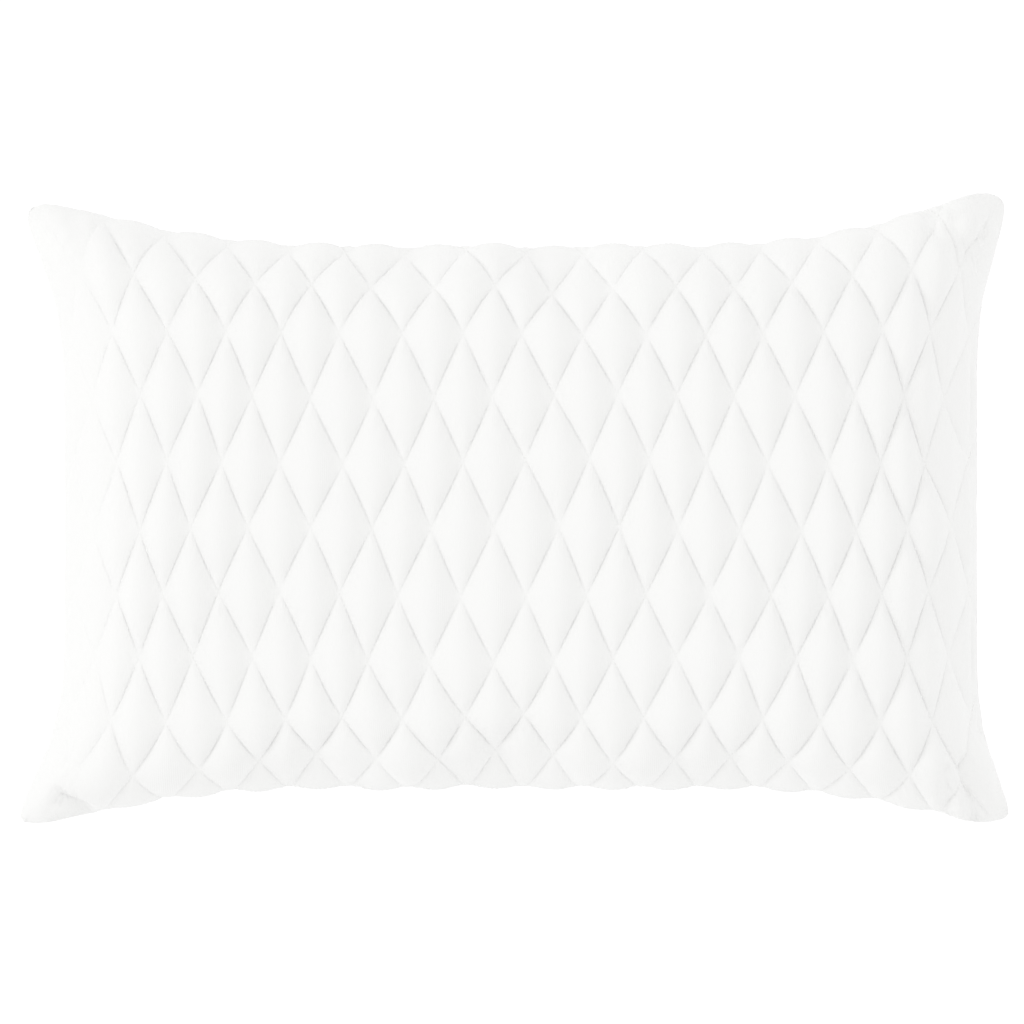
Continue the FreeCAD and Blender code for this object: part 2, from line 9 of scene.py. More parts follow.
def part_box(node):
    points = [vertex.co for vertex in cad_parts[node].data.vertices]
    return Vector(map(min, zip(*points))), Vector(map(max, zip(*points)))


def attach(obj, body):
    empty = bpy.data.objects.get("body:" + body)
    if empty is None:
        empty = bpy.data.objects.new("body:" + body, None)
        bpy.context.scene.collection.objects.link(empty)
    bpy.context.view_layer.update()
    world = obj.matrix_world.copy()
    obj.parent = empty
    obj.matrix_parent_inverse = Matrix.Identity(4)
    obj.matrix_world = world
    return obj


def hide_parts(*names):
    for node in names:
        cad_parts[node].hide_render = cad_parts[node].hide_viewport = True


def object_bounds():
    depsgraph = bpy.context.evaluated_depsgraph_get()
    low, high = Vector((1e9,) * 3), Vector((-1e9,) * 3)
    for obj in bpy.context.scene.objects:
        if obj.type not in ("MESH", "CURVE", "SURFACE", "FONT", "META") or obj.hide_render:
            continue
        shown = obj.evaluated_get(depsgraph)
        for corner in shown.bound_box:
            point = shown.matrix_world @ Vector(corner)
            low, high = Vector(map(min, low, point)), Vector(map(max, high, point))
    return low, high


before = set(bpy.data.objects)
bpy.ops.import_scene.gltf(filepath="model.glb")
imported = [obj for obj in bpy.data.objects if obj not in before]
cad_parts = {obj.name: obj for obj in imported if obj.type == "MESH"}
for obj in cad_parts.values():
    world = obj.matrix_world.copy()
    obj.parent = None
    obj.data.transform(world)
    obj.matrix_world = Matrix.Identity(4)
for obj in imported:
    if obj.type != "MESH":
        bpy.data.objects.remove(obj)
cad_low, cad_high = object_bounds()
SEAM_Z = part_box("front_face_fabric")[0].z
FRONT, BACK = 1, -1
SIDES = ((FRONT, "front"), (BACK, "back"))


def add_object(name, data):
    """A new object of the scene, at the origin."""
    made = bpy.data.objects.new(name, data)
    bpy.context.scene.collection.objects.link(made)
    return made


def add_form(name, bm):
    """A new object from a finished bmesh, which is freed."""
    mesh = bpy.data.meshes.new(name)
    bm.to_mesh(mesh)
    bm.free()
    return add_object(name, mesh)


# Camera: straight down on the front panel from far off, so the pillow is seen almost without perspective.
# The picture's up is +Y, and its frame is a little wider than the pillow.
FRAME_WIDTH = 0.6100
CAMERA_HEIGHT = 4.0
PICTURE_CENTRE = (-0.0039, 0.0036)
camera_data = bpy.data.cameras.new("camera")
camera_data.sensor_width = 36.0
camera_data.lens = camera_data.sensor_width * CAMERA_HEIGHT / FRAME_WIDTH
camera_data.clip_end = 20.0
camera = add_object("camera", camera_data)
camera.location = (*PICTURE_CENTRE, SEAM_Z + CAMERA_HEIGHT)
bpy.context.scene.camera = camera
bpy.context.scene.view_settings.view_transform = "Standard"


# Materials are built from nodes; colours are given as sRGB hex.

def linear(hex_colour):
    """An sRGB hex colour as the linear RGBA that a shader socket takes."""
    channels = [int(hex_colour[start:start + 2], 16) / 255 for start in (1, 3, 5)]
    bent = [c / 12.92 if c <= 0.04045 else ((c + 0.055) / 1.055) ** 2.4 for c in channels]
    return (*bent, 1.0)


def add_node(tree, kind, settings=(), inputs=()):
    """Add a node with its settings; an input is a value, or the output socket that it links from."""
    node = tree.nodes.new(kind)
    for name, value in dict(settings).items():
        setattr(node, name, value)
    for name, value in dict(inputs).items():
        if isinstance(value, bpy.types.NodeSocket):
            tree.links.new(value, node.inputs[name])
        else:
            node.inputs[name].default_value = value
    return node


def new_material(name):
    """An empty node material and its tree."""
    material = bpy.data.materials.new(name)
    material.use_nodes = True
    material.node_tree.nodes.clear()
    return material, material.node_tree


def add_shader(tree, inputs):
    """The material's shader, linked to its output."""
    shader = add_node(tree, "ShaderNodeBsdfPrincipled", inputs=inputs)
    output = tree.nodes.new("ShaderNodeOutputMaterial")
    tree.links.new(shader.outputs["BSDF"], output.inputs["Surface"])


def object_places(tree):
    """Places on the object, in metres from its origin, as a socket."""
    return add_node(tree, "ShaderNodeTexCoord").outputs["Object"]


def noise_socket(tree, places, scale, detail):
    """A noise texture's value as a socket."""
    return add_node(tree, "ShaderNodeTexNoise", inputs={
        "Vector": places, "Scale": scale, "Detail": detail}).outputs["Fac"]


def bands(tree, places, axis, spacing, distortion, detail=2.0):
    """Parallel bands across an axis, about this many metres apart, as a socket."""
    return add_node(tree, "ShaderNodeTexWave", {"wave_type": "BANDS", "bands_direction": axis}, {
        "Vector": places, "Scale": 1 / spacing / math.pi, "Distortion": distortion,
        "Detail": detail}).outputs["Fac"]


def bump_socket(tree, height, strength, distance):
    """A bump from a height socket, as the socket for a shader's normal."""
    return add_node(tree, "ShaderNodeBump", inputs={
        "Strength": strength, "Distance": distance, "Height": height}).outputs["Normal"]


# Studio floor: a light table, lit evenly from below so that it shows no shadow, with no edge in sight.
FLOOR_SIZE = 12.0
light_table, tree = new_material("light_table")
add_shader(tree, {
    "Base Color": linear("#505050"), "Roughness": 0.9,
    "Emission Color": linear("#FFFFFF"), "Emission Strength": 1.0})
floor_bm = bmesh.new()
bmesh.ops.create_grid(floor_bm, x_segments=1, y_segments=1, size=FLOOR_SIZE / 2)
floor = add_form("floor", floor_bm)
floor.data.materials.append(light_table)


# Studio light: a broad soft key from far to the left, a weak fill from above and a white room.

def softbox(name, place, size, watts, target=(0, 0, 0.05)):
    """A rectangular area light, turned to its target."""
    light = bpy.data.lights.new(name, "AREA")
    light.shape = "RECTANGLE"
    light.size, light.size_y = size
    light.energy = watts
    box_object = add_object(name, light)
    box_object.location = place
    aim = Vector(target) - Vector(place)
    box_object.rotation_euler = aim.to_track_quat("-Z", "Y").to_euler()


softbox("key_left", (-3.8, 0.30, 2.70), (1.8, 2.4), 23)
softbox("fill_top", (0.2, 0.3, 2.6), (2.5, 2.5), 8)
world = bpy.data.worlds.new("white_room")
world.use_nodes = True
background = world.node_tree.nodes["Background"]
background.inputs["Color"].default_value = linear("#FFFFFF")
background.inputs["Strength"].default_value = 0.897
bpy.context.scene.world = world


# The cover's shape.
# Two flat panels, 600 x 400 mm with rounded corners, are sewn together and filled: a cloth simulation blows
# them up, and the cover is then drawn to its outline and the frame's heights and pressed flat underneath.
PANEL_LENGTH = 0.600
PANEL_WIDTH = 0.400
CORNER_ROUND = 0.026
BLANK_CELLS = (72, 48)
START_HEIGHT = 0.02
ON_SEAM = 1e-7
SEAM_MERGE = 1e-5
FILL_FRAMES = 30
FILLING = {
    "quality": 8, "mass": 0.3, "tension_stiffness": 40, "compression_stiffness": 0.3,
    "shear_stiffness": 16, "bending_stiffness": 20, "air_damping": 1.5, "bending_damping": 1,
    "use_pressure": True, "uniform_pressure_force": 1.5}


def round_corners(u, v):
    """Flat place of a point of the panel: the corner blocks' square edges are bent into quarter circles."""
    a = np.clip((np.abs(u) - PANEL_LENGTH / 2 + CORNER_ROUND) / CORNER_ROUND, 0, 1)
    b = np.clip((np.abs(v) - PANEL_WIDTH / 2 + CORNER_ROUND) / CORNER_ROUND, 0, 1)
    du = a * (np.sqrt(1 - b * b / 2) - 1) * CORNER_ROUND
    dv = b * (np.sqrt(1 - a * a / 2) - 1) * CORNER_ROUND
    return u + np.sign(u) * du, v + np.sign(v) * dv


def mesh_array(mesh, layer="co"):
    """The places or the normals of a mesh's vertices, one row each."""
    values = np.zeros(len(mesh.vertices) * 3)
    mesh.vertices.foreach_get(layer, values)
    return values.reshape(-1, 3)


def panel_pair():
    """A front and a back panel as flat grids in one bmesh, the back one turned over, with its vertices."""
    bm = bmesh.new()
    bmesh.ops.create_grid(bm, x_segments=BLANK_CELLS[0], y_segments=BLANK_CELLS[1], size=0.5)
    bmesh.ops.scale(bm, vec=(PANEL_LENGTH, PANEL_WIDTH, 1), verts=bm.verts)
    copy = bmesh.ops.duplicate(bm, geom=bm.verts[:] + bm.edges[:] + bm.faces[:])["geom"]
    bmesh.ops.reverse_faces(bm, faces=[item for item in copy if isinstance(item, bmesh.types.BMFace)])
    return bm, {item for item in copy if isinstance(item, bmesh.types.BMVert)}


def sewn_blank():
    """The two panels joined along their square edges and held a little apart in the middle."""
    bm, back_verts = panel_pair()
    for vert in bm.verts:
        u, v = vert.co.x, vert.co.y
        edge_room = (1 - (2 * u / PANEL_LENGTH) ** 2) * (1 - (2 * v / PANEL_WIDTH) ** 2)
        side = BACK if vert in back_verts else FRONT
        vert.co.z = side * START_HEIGHT * max(edge_room, 0)
    bmesh.ops.remove_doubles(bm, verts=bm.verts, dist=SEAM_MERGE)
    return add_form("cover_blank", bm)


def blown_up(blank):
    """Places of the blank's vertices once the cloth simulation has filled it."""
    cloth = blank.modifiers.new("filling", "CLOTH")
    for name, value in FILLING.items():
        setattr(cloth.settings, name, value)
    cloth.settings.effector_weights.gravity = 0
    cloth.point_cache.frame_end = FILL_FRAMES
    for number in range(1, FILL_FRAMES + 1):
        bpy.context.scene.frame_set(number)
    return mesh_array(blank.evaluated_get(bpy.context.evaluated_depsgraph_get()).data)


def filled_cover():
    """The filled panels as two grids of points, front and back, over the flat panel's length and width."""
    blank = sewn_blank()
    square = mesh_array(blank.data)
    side = np.where(square[:, 2] >= -ON_SEAM, FRONT, BACK)
    on_edge = np.abs(square[:, 2]) < ON_SEAM
    rounded = square.copy()
    rounded[:, 0], rounded[:, 1] = round_corners(square[:, 0], square[:, 1])
    blank.data.vertices.foreach_set("co", rounded.ravel())
    filled = blown_up(blank)
    bpy.data.objects.remove(blank)
    bpy.context.scene.frame_set(1)
    columns, rows = BLANK_CELLS
    column = np.rint((square[:, 0] / PANEL_LENGTH + 0.5) * columns).astype(int)
    row = np.rint((square[:, 1] / PANEL_WIDTH + 0.5) * rows).astype(int)
    grids = {}
    for wanted in (FRONT, BACK):
        grid = np.zeros((rows + 1, columns + 1, 3))
        chosen = (side == wanted) | on_edge
        grid[row[chosen], column[chosen]] = filled[chosen]
        grids[wanted] = grid
    return grids


# The drawn outline, in metres from the pillow's middle: each side is straight in its middle and then hollow,
# in an arc, out to the ears, whose tips are given. The fabric stands out past the seam by the side's bulge,
# most of it near the edge, so that the pillow's edge is full. A side's line is drawn as far as its reach, and
# the corners past it move along with its ends. The puffs stand on the crown, which is lower than the frame.
LONG_SIDES = {
    1: {"half": 0.1668, "straight": 0.110, "hollow": 0.55, "bulge": 0.0055},
    -1: {"half": 0.1648, "straight": 0.130, "hollow": 0.68, "bulge": 0.0055}}
SHORT_SIDES = {
    1: {"half": 0.2740, "straight": 0.100, "hollow": 0.18, "bulge": 0.0012},
    -1: {"half": 0.2745, "straight": 0.085, "hollow": 0.19, "bulge": 0.0055}}
LONG_REACH = 0.262
SHORT_REACH = 0.172
LINE_POWER = 3
LONG_BULGE = ((0, 0.45, 0.86, 0.95, 1), (0, 0.25, 1, 1, 0))
SHORT_BULGE = ((0, 0.65, 0.91, 0.97, 1), (0, 0.25, 1, 1, 0))
SMOOTH_REACH = 3
EAR_TIPS = {
    (-1, 1): (0.2915, 0.1860), (1, 1): (0.2895, 0.1935),
    (-1, -1): (0.2960, 0.1810), (1, -1): (0.2918, 0.1805)}
EAR_SPREAD = 5
EAR_START = 0.90
EAR_PASSES = 3
CROWN_SHARE = 0.955
CROWN = (cad_high.z - SEAM_Z) * CROWN_SHARE
SHOULDER = 2.1
SOLE = 2.2
EDGE_STEEPNESS = 0.62


def side_line(side, along):
    """Distance of a side's seam from the pillow's middle line, at a place along it."""
    past = np.maximum(np.abs(along) - side["straight"], 0)
    return side["half"] - side["bulge"] + side["hollow"] - np.sqrt(side["hollow"] ** 2 - past ** 2)


def way_to_line(line, along, side, reach):
    """How far to move a side's points out to its line, in its broad shape and not its puckers."""
    inner = np.abs(along) < reach
    gap = np.interp(along, along[inner], side_line(side, along[inner]) - np.abs(line[inner]))
    window = 2 * SMOOTH_REACH + 1
    return np.convolve(np.pad(gap, SMOOTH_REACH, mode="edge"), np.ones(window) / window, mode="valid")


def draw_heights(grids):
    """Centre the filled cover and bring its front to the crown's height and its back to the floor."""
    points = np.concatenate([grids[side].reshape(-1, 3) for side in (FRONT, BACK)])
    middle = (points.max(0) + points.min(0)) / 2
    crown = (points.max(0)[2] - points.min(0)[2]) / 2
    for grid in grids.values():
        grid -= middle
        height = grid[:, :, 2] / crown
        upper = 1 - (1 - np.clip(height, 0, 1) ** EDGE_STEEPNESS) ** SHOULDER
        lower = 1 - np.clip(1 + height, 0, 1) ** SOLE
        grid[:, :, 2] = SEAM_Z + np.where(height > 0, upper * CROWN, -lower * SEAM_Z)


def draw_sides(grids, along, across):
    """Move the four sides out to their lines, and the fabric beside them a little past the seam."""
    front = grids[FRONT]
    for way in (1, -1):
        end = -1 if way == 1 else 0
        move_y = way_to_line(front[end, :, 1], front[end, :, 0], LONG_SIDES[way], LONG_REACH)
        move_x = way_to_line(front[:, end, 0], front[:, end, 1], SHORT_SIDES[way], SHORT_REACH)
        share_y = np.clip(way * across, 0, 1)
        share_x = np.clip(way * along, 0, 1)
        bulge_y = LONG_SIDES[way]["bulge"] * np.interp(share_y, *LONG_BULGE)
        bulge_x = SHORT_SIDES[way]["bulge"] * np.interp(share_x, *SHORT_BULGE)
        for grid in grids.values():
            grid[:, :, 1] += way * (share_y ** LINE_POWER * move_y[None, :] + bulge_y)
            grid[:, :, 0] += way * (share_x ** LINE_POWER * move_x[:, None] + bulge_x)


def draw_ears(grids, along, across):
    """Pull each corner out until its furthest points lie at the ear's tip."""
    for (way_x, way_y), tip in EAR_TIPS.items():
        near = np.clip(way_x * along, 0, 1) * np.clip(way_y * across, 0, 1)
        ear = near > EAR_START ** 2
        for _ in range(EAR_PASSES):
            for axis, way in ((0, way_x), (1, way_y)):
                short = tip[axis] - (way * grids[FRONT][:, :, axis])[ear].max()
                for grid in grids.values():
                    grid[:, :, axis] += way * short * near ** EAR_SPREAD


cover = filled_cover()
grid_along = np.linspace(-1, 1, BLANK_CELLS[0] + 1)[None, :]
grid_across = np.linspace(-1, 1, BLANK_CELLS[1] + 1)[:, None]
draw_heights(cover)
draw_sides(cover, grid_along, grid_across)
draw_ears(cover, grid_along, grid_across)


def cubic(values, share):
    """Catmull-Rom blend of four neighbouring values."""
    before, here, after, beyond = values
    return 0.5 * (2 * here + (after - before) * share
                  + (2 * before - 5 * here + 4 * after - beyond) * share ** 2
                  + (3 * here - before - 3 * after + beyond) * share ** 3)


def on_cover(grid, u, v):
    """Points of the filled cover over flat places (u, v) of a panel."""
    rows, columns = grid.shape[:2]
    padded = np.pad(grid, ((1, 1), (1, 1), (0, 0)), mode="reflect", reflect_type="odd")
    x = np.clip((u / PANEL_LENGTH + 0.5) * (columns - 1), 0, columns - 1)
    y = np.clip((v / PANEL_WIDTH + 0.5) * (rows - 1), 0, rows - 1)
    column = np.minimum(x.astype(int), columns - 2)
    row = np.minimum(y.astype(int), rows - 2)
    share_x = (x - column)[:, None]
    share_y = (y - row)[:, None]
    lines = []
    for step in range(4):
        lines.append(cubic([padded[row + step, column + k] for k in range(4)], share_x))
    return cubic(lines, share_y)


# The quilted panels.
# Each is a knit face fabric over wadding, stitched through in long diamonds 36 x 77 mm. The mesh is a sheared
# grid that follows the stitching lines, finest beside them, cut to the panel and laid on the filled cover;
# between the lines the fabric stands up in smooth puffs.
DIAMOND_WIDTH = 0.0360
DIAMOND_HEIGHT = 0.0770
STITCH_CROSSING = (-0.0146, -0.0060)
DIAMOND_CELLS = 16
LATTICE_CELLS = 24
GRID_MERGE = 0.0003
CUT_TOLERANCE = 1e-6
EDGE_TOLERANCE = 1e-5
PUFF_HEIGHT = 0.0068
PUFF_SHARPNESS = 0.78
EDGE_PUFF = 0.014
EDGE_HOLD = 0.070
EDGE_SHARE = 0.5
LINE_SPACING = DIAMOND_WIDTH * DIAMOND_HEIGHT / math.hypot(DIAMOND_WIDTH, DIAMOND_HEIGHT)
LINE_RUN = math.hypot(DIAMOND_WIDTH, DIAMOND_HEIGHT) / 2
FABRIC_WALL = 0.0009

# Where the filling is packed so tight that the stitching draws the fabric in less: the ears, from a share of
# the way into the corner and over a further share, and the end at -X.
EAR_PUFF = 0.85
LEFT_EARS = (0.76, 0.12)
RIGHT_EARS = (0.84, 0.10)
RIGHT_EAR_SHARE = 0.5
END_PUFF = 0.65
END_SHARE = 0.6
TIGHT_END = (0.238, 0.030)

# Small gathers along the stitching, and the quilting's slight wander. The rates of their sines, in radians a
# metre, are chosen so that nothing repeats over a panel.
PUCKER_LENGTH = 0.0095
PUCKER_DEPTH = 0.00028
PUCKER_REACH = 0.0050
PUCKER_DRIFT = 2.3
DRIFT_RATE, DRIFT_SHIFT = 61, 2.1
STRENGTH_RATE, STRENGTH_SHIFT = 23, 1.7
WANDER = 0.0011
WANDER_ONSET = (8, 6)

# Along the zip each panel's edge is turned in over the tape and topstitched.
TAPE_LOW, TAPE_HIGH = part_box("zip_tape_front")
TAPE_PAST = 0.007
ZIP_HALF = (TAPE_HIGH.y - TAPE_LOW.y) / 2 - TAPE_PAST
ZIP_END = 0.012
MOUTH_LIFT = 0.0045
MOUTH_REACH = 0.020
HEM_HALF = ZIP_HALF + ZIP_END
HEM_WIDTH = 0.0060
HEM_DEPTH = 0.0050
HEM_FOLD = 0.0006
HEM_STEPS = (0.15, 1.0)
RESTING_SOFTNESS = 0.0015


def smooth_step(share):
    """From 0 to 1 with level ends."""
    share = np.clip(share, 0, 1)
    return share * share * (3 - 2 * share)


def into_corner(u, v):
    """From 0 on the panel's middle lines to 1 at its corners."""
    return np.abs(u) / PANEL_LENGTH * np.abs(v) / PANEL_WIDTH * 4


def lattice_place(u, v):
    """Flat place in stitching-line units: whole numbers lie on a line of one direction or the other."""
    along = (u - STITCH_CROSSING[0]) / DIAMOND_WIDTH
    up = (v - STITCH_CROSSING[1]) / DIAMOND_HEIGHT
    return up + along, up - along


def puff(u, v):
    """Height of the fabric above the stitching, from 0 on a line to 1 in the middle of a diamond.

    The puffs are held lower towards the seam, and the topstitching along the zip draws them in."""
    first, second = lattice_place(u, v)
    height = np.ones_like(u)
    for share in (first - np.floor(first), second - np.floor(second)):
        height *= np.clip(4 * share * (1 - share), 0, 1) ** PUFF_SHARPNESS
    corner = into_corner(u, v)
    left = smooth_step((corner - LEFT_EARS[0]) / LEFT_EARS[1])
    right = RIGHT_EAR_SHARE * smooth_step((corner - RIGHT_EARS[0]) / RIGHT_EARS[1])
    height += (EAR_PUFF - height) * np.where(u < 0, left, right)
    height += (END_PUFF - height) * END_SHARE * smooth_step((-u - TIGHT_END[0]) / TIGHT_END[1])
    from_edge = np.minimum(PANEL_LENGTH / 2 - np.abs(u), PANEL_WIDTH / 2 - np.abs(v))
    height *= EDGE_SHARE + (1 - EDGE_SHARE) * smooth_step(from_edge / EDGE_HOLD)
    edge = np.clip(from_edge / EDGE_PUFF, 0, 1)
    from_topstitch = np.abs(PANEL_LENGTH / 2 - HEM_WIDTH - u) / HEM_WIDTH
    along_zip = smooth_step((HEM_HALF - np.abs(v)) / ZIP_END)
    held = 1 - along_zip * (1 - np.clip(from_topstitch, 0, 1) ** PUFF_SHARPNESS)
    return height * np.sqrt(edge * (2 - edge)) * held


def puckers(u, v):
    """Small gathers across the stitching lines, where the thread has drawn the fabric up."""
    first, second = lattice_place(u, v)
    gathers = np.zeros_like(u)
    for across, along in ((first, second), (second, first)):
        line = np.rint(across)
        away = np.abs(across - line) * LINE_SPACING / PUCKER_REACH
        run = along * LINE_RUN
        drift = PUCKER_DRIFT * np.sin(run * DRIFT_RATE + line * DRIFT_SHIFT)
        strength = 0.5 + 0.5 * np.sin(run * STRENGTH_RATE + line * STRENGTH_SHIFT)
        gathers += np.sin(2 * math.pi * run / PUCKER_LENGTH + drift) * strength * away * np.exp(1 - away ** 2)
    return gathers


# Folds in the front panel where the filling pulls it into the ears: each runs from one place to another, seen
# from above, in metres, with its depth and its half width. They fade out towards the seam.
FOLD_FADE = 0.030
FOLD_END = 1.15
FOLD_TAPER = 2.5
FOLDS = [
    ((-0.255, -0.174), (-0.275, -0.163), 0.0070, 0.0040),
    ((-0.257, -0.175), (-0.281, -0.172), 0.0040, 0.0045),
    ((-0.266, 0.186), (-0.240, 0.106), 0.0022, 0.0060),
    ((0.263, -0.146), (0.271, -0.178), 0.0055, 0.0038),
    ((0.283, -0.150), (0.286, -0.172), 0.0040, 0.0035),
    ((0.250, -0.152), (0.254, -0.172), 0.0030, 0.0040),
    ((0.258, 0.172), (0.279, 0.140), 0.0042, 0.0048),
    ((0.277, 0.166), (0.284, 0.140), 0.0048, 0.0042),
    ((0.243, 0.172), (0.262, 0.146), 0.0028, 0.0050),
]


def fold_depth(points):
    """How deep the folds run at points of the front panel."""
    depth = np.zeros(len(points))
    for start, end, deepest, half_width in FOLDS:
        start, run = np.array(start), np.array(end) - np.array(start)
        share = ((points[:, :2] - start) @ run) / (run @ run)
        away = np.linalg.norm(points[:, :2] - start - np.clip(share, 0, 1)[:, None] * run, axis=1)
        fade = smooth_step(FOLD_TAPER * (FOLD_END - share))
        depth += deepest * np.exp(-(away / half_width) ** 2) * fade
    return depth * smooth_step((points[:, 2] - SEAM_Z) / FOLD_FADE)


def flat_panel(side):
    """A flat panel's mesh, its edges along the stitching lines, with its flat places as UVs in metres."""
    bm = bmesh.new()
    bmesh.ops.create_grid(
        bm, x_segments=LATTICE_CELLS * DIAMOND_CELLS, y_segments=LATTICE_CELLS * DIAMOND_CELLS,
        size=LATTICE_CELLS / 2)
    for vert in bm.verts:
        for axis in (0, 1):
            whole = math.floor(vert.co[axis] + CUT_TOLERANCE)
            share = vert.co[axis] - whole
            vert.co[axis] = whole + 0.5 * share + 0.25 * (1 - math.cos(math.pi * share))
    shear = Matrix((
        (DIAMOND_WIDTH / 2, -DIAMOND_WIDTH / 2, 0, STITCH_CROSSING[0]),
        (DIAMOND_HEIGHT / 2, DIAMOND_HEIGHT / 2, 0, STITCH_CROSSING[1]),
        (0, 0, 1, 0),
        (0, 0, 0, 1)))
    bmesh.ops.transform(bm, matrix=shear, verts=bm.verts)
    for axis, half in ((0, PANEL_LENGTH / 2), (1, PANEL_WIDTH / 2)):
        for way in (1, -1):
            normal = Vector((0, 0, 0))
            normal[axis] = way
            bmesh.ops.bisect_plane(
                bm, geom=bm.verts[:] + bm.edges[:] + bm.faces[:], dist=CUT_TOLERANCE,
                plane_co=normal * half, plane_no=normal, clear_outer=True)
    bmesh.ops.remove_doubles(bm, verts=bm.verts, dist=GRID_MERGE)
    if side == BACK:
        bmesh.ops.reverse_faces(bm, faces=bm.faces)
    flat_map = bm.loops.layers.uv.new("flat")
    for face in bm.faces:
        face.smooth = True
        for loop in face.loops:
            loop[flat_map].uv = loop.vert.co.xy
    return bm


def turn_in_hem(bm):
    """Fold the panel's edge along the zip inwards: z holds how far each new vertex is turned in."""
    edge_x = PANEL_LENGTH / 2 - EDGE_TOLERANCE
    hem = [edge for edge in bm.edges if edge.is_boundary
           and all(vert.co.x > edge_x and abs(vert.co.y) < HEM_HALF for vert in edge.verts)]
    for depth in HEM_STEPS:
        made = bmesh.ops.extrude_edge_only(bm, edges=hem)["geom"]
        for vert in [item for item in made if isinstance(item, bmesh.types.BMVert)]:
            vert.co.z = depth
        hem = [item for item in made if isinstance(item, bmesh.types.BMEdge) and item.is_boundary
               and all(vert.co.z == depth for vert in item.verts)]


def open_for_zip(points, side, u, v):
    """Part the panels along the zip, each edge lifted off the seam."""
    edge = on_cover(cover[side], np.full_like(u, PANEL_LENGTH / 2), v)
    along = smooth_step((HEM_HALF - np.abs(edge[:, 1])) / ZIP_END)
    near = 1 - smooth_step((PANEL_LENGTH / 2 - u) / MOUTH_REACH)
    points[:, 2] += (SEAM_Z + side * MOUTH_LIFT - edge[:, 2]) * along * near
    return points


def panel_points(side, u, v):
    """Where flat places lie on the cover; the quilting wanders a little, as fabric does on a soft filling."""
    room_u = np.clip(WANDER_ONSET[0] * (1 - (2 * u / PANEL_LENGTH) ** 2), 0, 1)
    room_v = np.clip(WANDER_ONSET[1] * (1 - (2 * v / PANEL_WIDTH) ** 2), 0, 1)
    room = room_u * room_v
    wander_u = WANDER * room * (np.sin(31 * v + 9 * u + side) + np.sin(47 * u - 22 * v))
    wander_v = WANDER * room * (np.sin(27 * u + 13 * v) + np.sin(41 * v - 17 * u + side))
    return open_for_zip(on_cover(cover[side], u + wander_u, v + wander_v), side, u, v)


def quilted_panel(name, side):
    """One quilted side of the cover: flat panel, hem, cover shape, puffs, puckers and folds."""
    bm = flat_panel(side)
    turn_in_hem(bm)
    panel = add_form(name, bm)
    mesh = panel.data
    flat = mesh_array(mesh)
    u, v, turned_in = flat[:, 0], flat[:, 1], flat[:, 2]
    base = panel_points(side, u, v)
    base[:, 0] -= turned_in * HEM_DEPTH
    base[:, 2] -= side * HEM_FOLD * np.sqrt(turned_in)
    mesh.vertices.foreach_set("co", base.ravel())
    mesh.update()
    outward = mesh_array(mesh, "normal")
    height = PUFF_HEIGHT * puff(u, v) + PUCKER_DEPTH * puckers(u, v)
    if side == FRONT:
        height -= fold_depth(base)
    raised = base + outward * (height * (turned_in == 0))[:, None]
    raised[:, 2] = 0.5 * (raised[:, 2] + np.sqrt(raised[:, 2] ** 2 + RESTING_SOFTNESS ** 2))
    mesh.vertices.foreach_set("co", raised.ravel())
    mesh.update()
    wall = panel.modifiers.new("fabric_wall", "SOLIDIFY")
    wall.thickness = FABRIC_WALL
    wall.offset = -1
    return panel


def knit_fabric():
    """White polyester knit: fine ribs with a little fuzz."""
    material, tree = new_material("white_polyester_knit")
    places = add_node(tree, "ShaderNodeUVMap", {"uv_map": "flat"}).outputs["UV"]
    ribs = bands(tree, places, "X", 0.0012, 1.5)
    fuzz = noise_socket(tree, places, 900.0, 4.0)
    weave = add_node(tree, "ShaderNodeMix", {"data_type": "FLOAT"}, {"Factor": 0.5, "A": ribs, "B": fuzz})
    add_shader(tree, {
        "Base Color": linear("#F3F3F2"), "Roughness": 0.88, "Sheen Weight": 0.25, "Sheen Roughness": 0.5,
        "Normal": bump_socket(tree, weave.outputs["Result"], 0.25, 0.0003)})
    return material


knit = knit_fabric()
for side, word in SIDES:
    panel = quilted_panel(word + "_quilted_panel", side)
    panel.data.materials.append(knit)
    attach(panel, "pillow")
    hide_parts(word + "_face_fabric", word + "_wadding", word + "_lining")


# Quilting thread: white polyester lockstitch, 3 mm a stitch, along every line of the quilting. It sits in the
# valleys between the puffs and dips into the fabric at each needle hole, where it is drawn thin.
STITCH_STEP = 0.0015
STITCH_DIP = 0.0003
DIP_RADIUS = 0.35
THREAD_RADIUS = 0.00022
EDGE_CLEAR = 0.002
FEWEST_STITCHES = 4


def sewing_thread():
    """White polyester sewing thread."""
    material, tree = new_material("white_polyester_thread")
    add_shader(tree, {"Base Color": linear("#F5F5F3"), "Roughness": 0.55, "Sheen Weight": 0.2})
    return material


def outward_at(side, u, v):
    """The cover's outward direction over flat places, from two short steps along the panel."""
    step = 0.001
    along = panel_points(side, u + step, v) - panel_points(side, u - step, v)
    across = panel_points(side, u, v + step) - panel_points(side, u, v - step)
    normal = np.cross(along, across) * side
    return normal / np.linalg.norm(normal, axis=1)[:, None]


def thread_curve(name, radius):
    """An empty curve, round in section."""
    curve = bpy.data.curves.new(name, "CURVE")
    curve.dimensions = "3D"
    curve.bevel_depth = radius
    curve.bevel_resolution = 0
    return curve


def add_run(curve, points, thinness=1.0):
    """Add one run of thread through points; thinness is a share of the radius at each."""
    spline = curve.splines.new("POLY")
    spline.points.add(len(points) - 1)
    spline.points.foreach_set("co", np.column_stack([points, np.ones(len(points))]).ravel())
    spline.points.foreach_set("radius", np.ones(len(points)) * thinness)


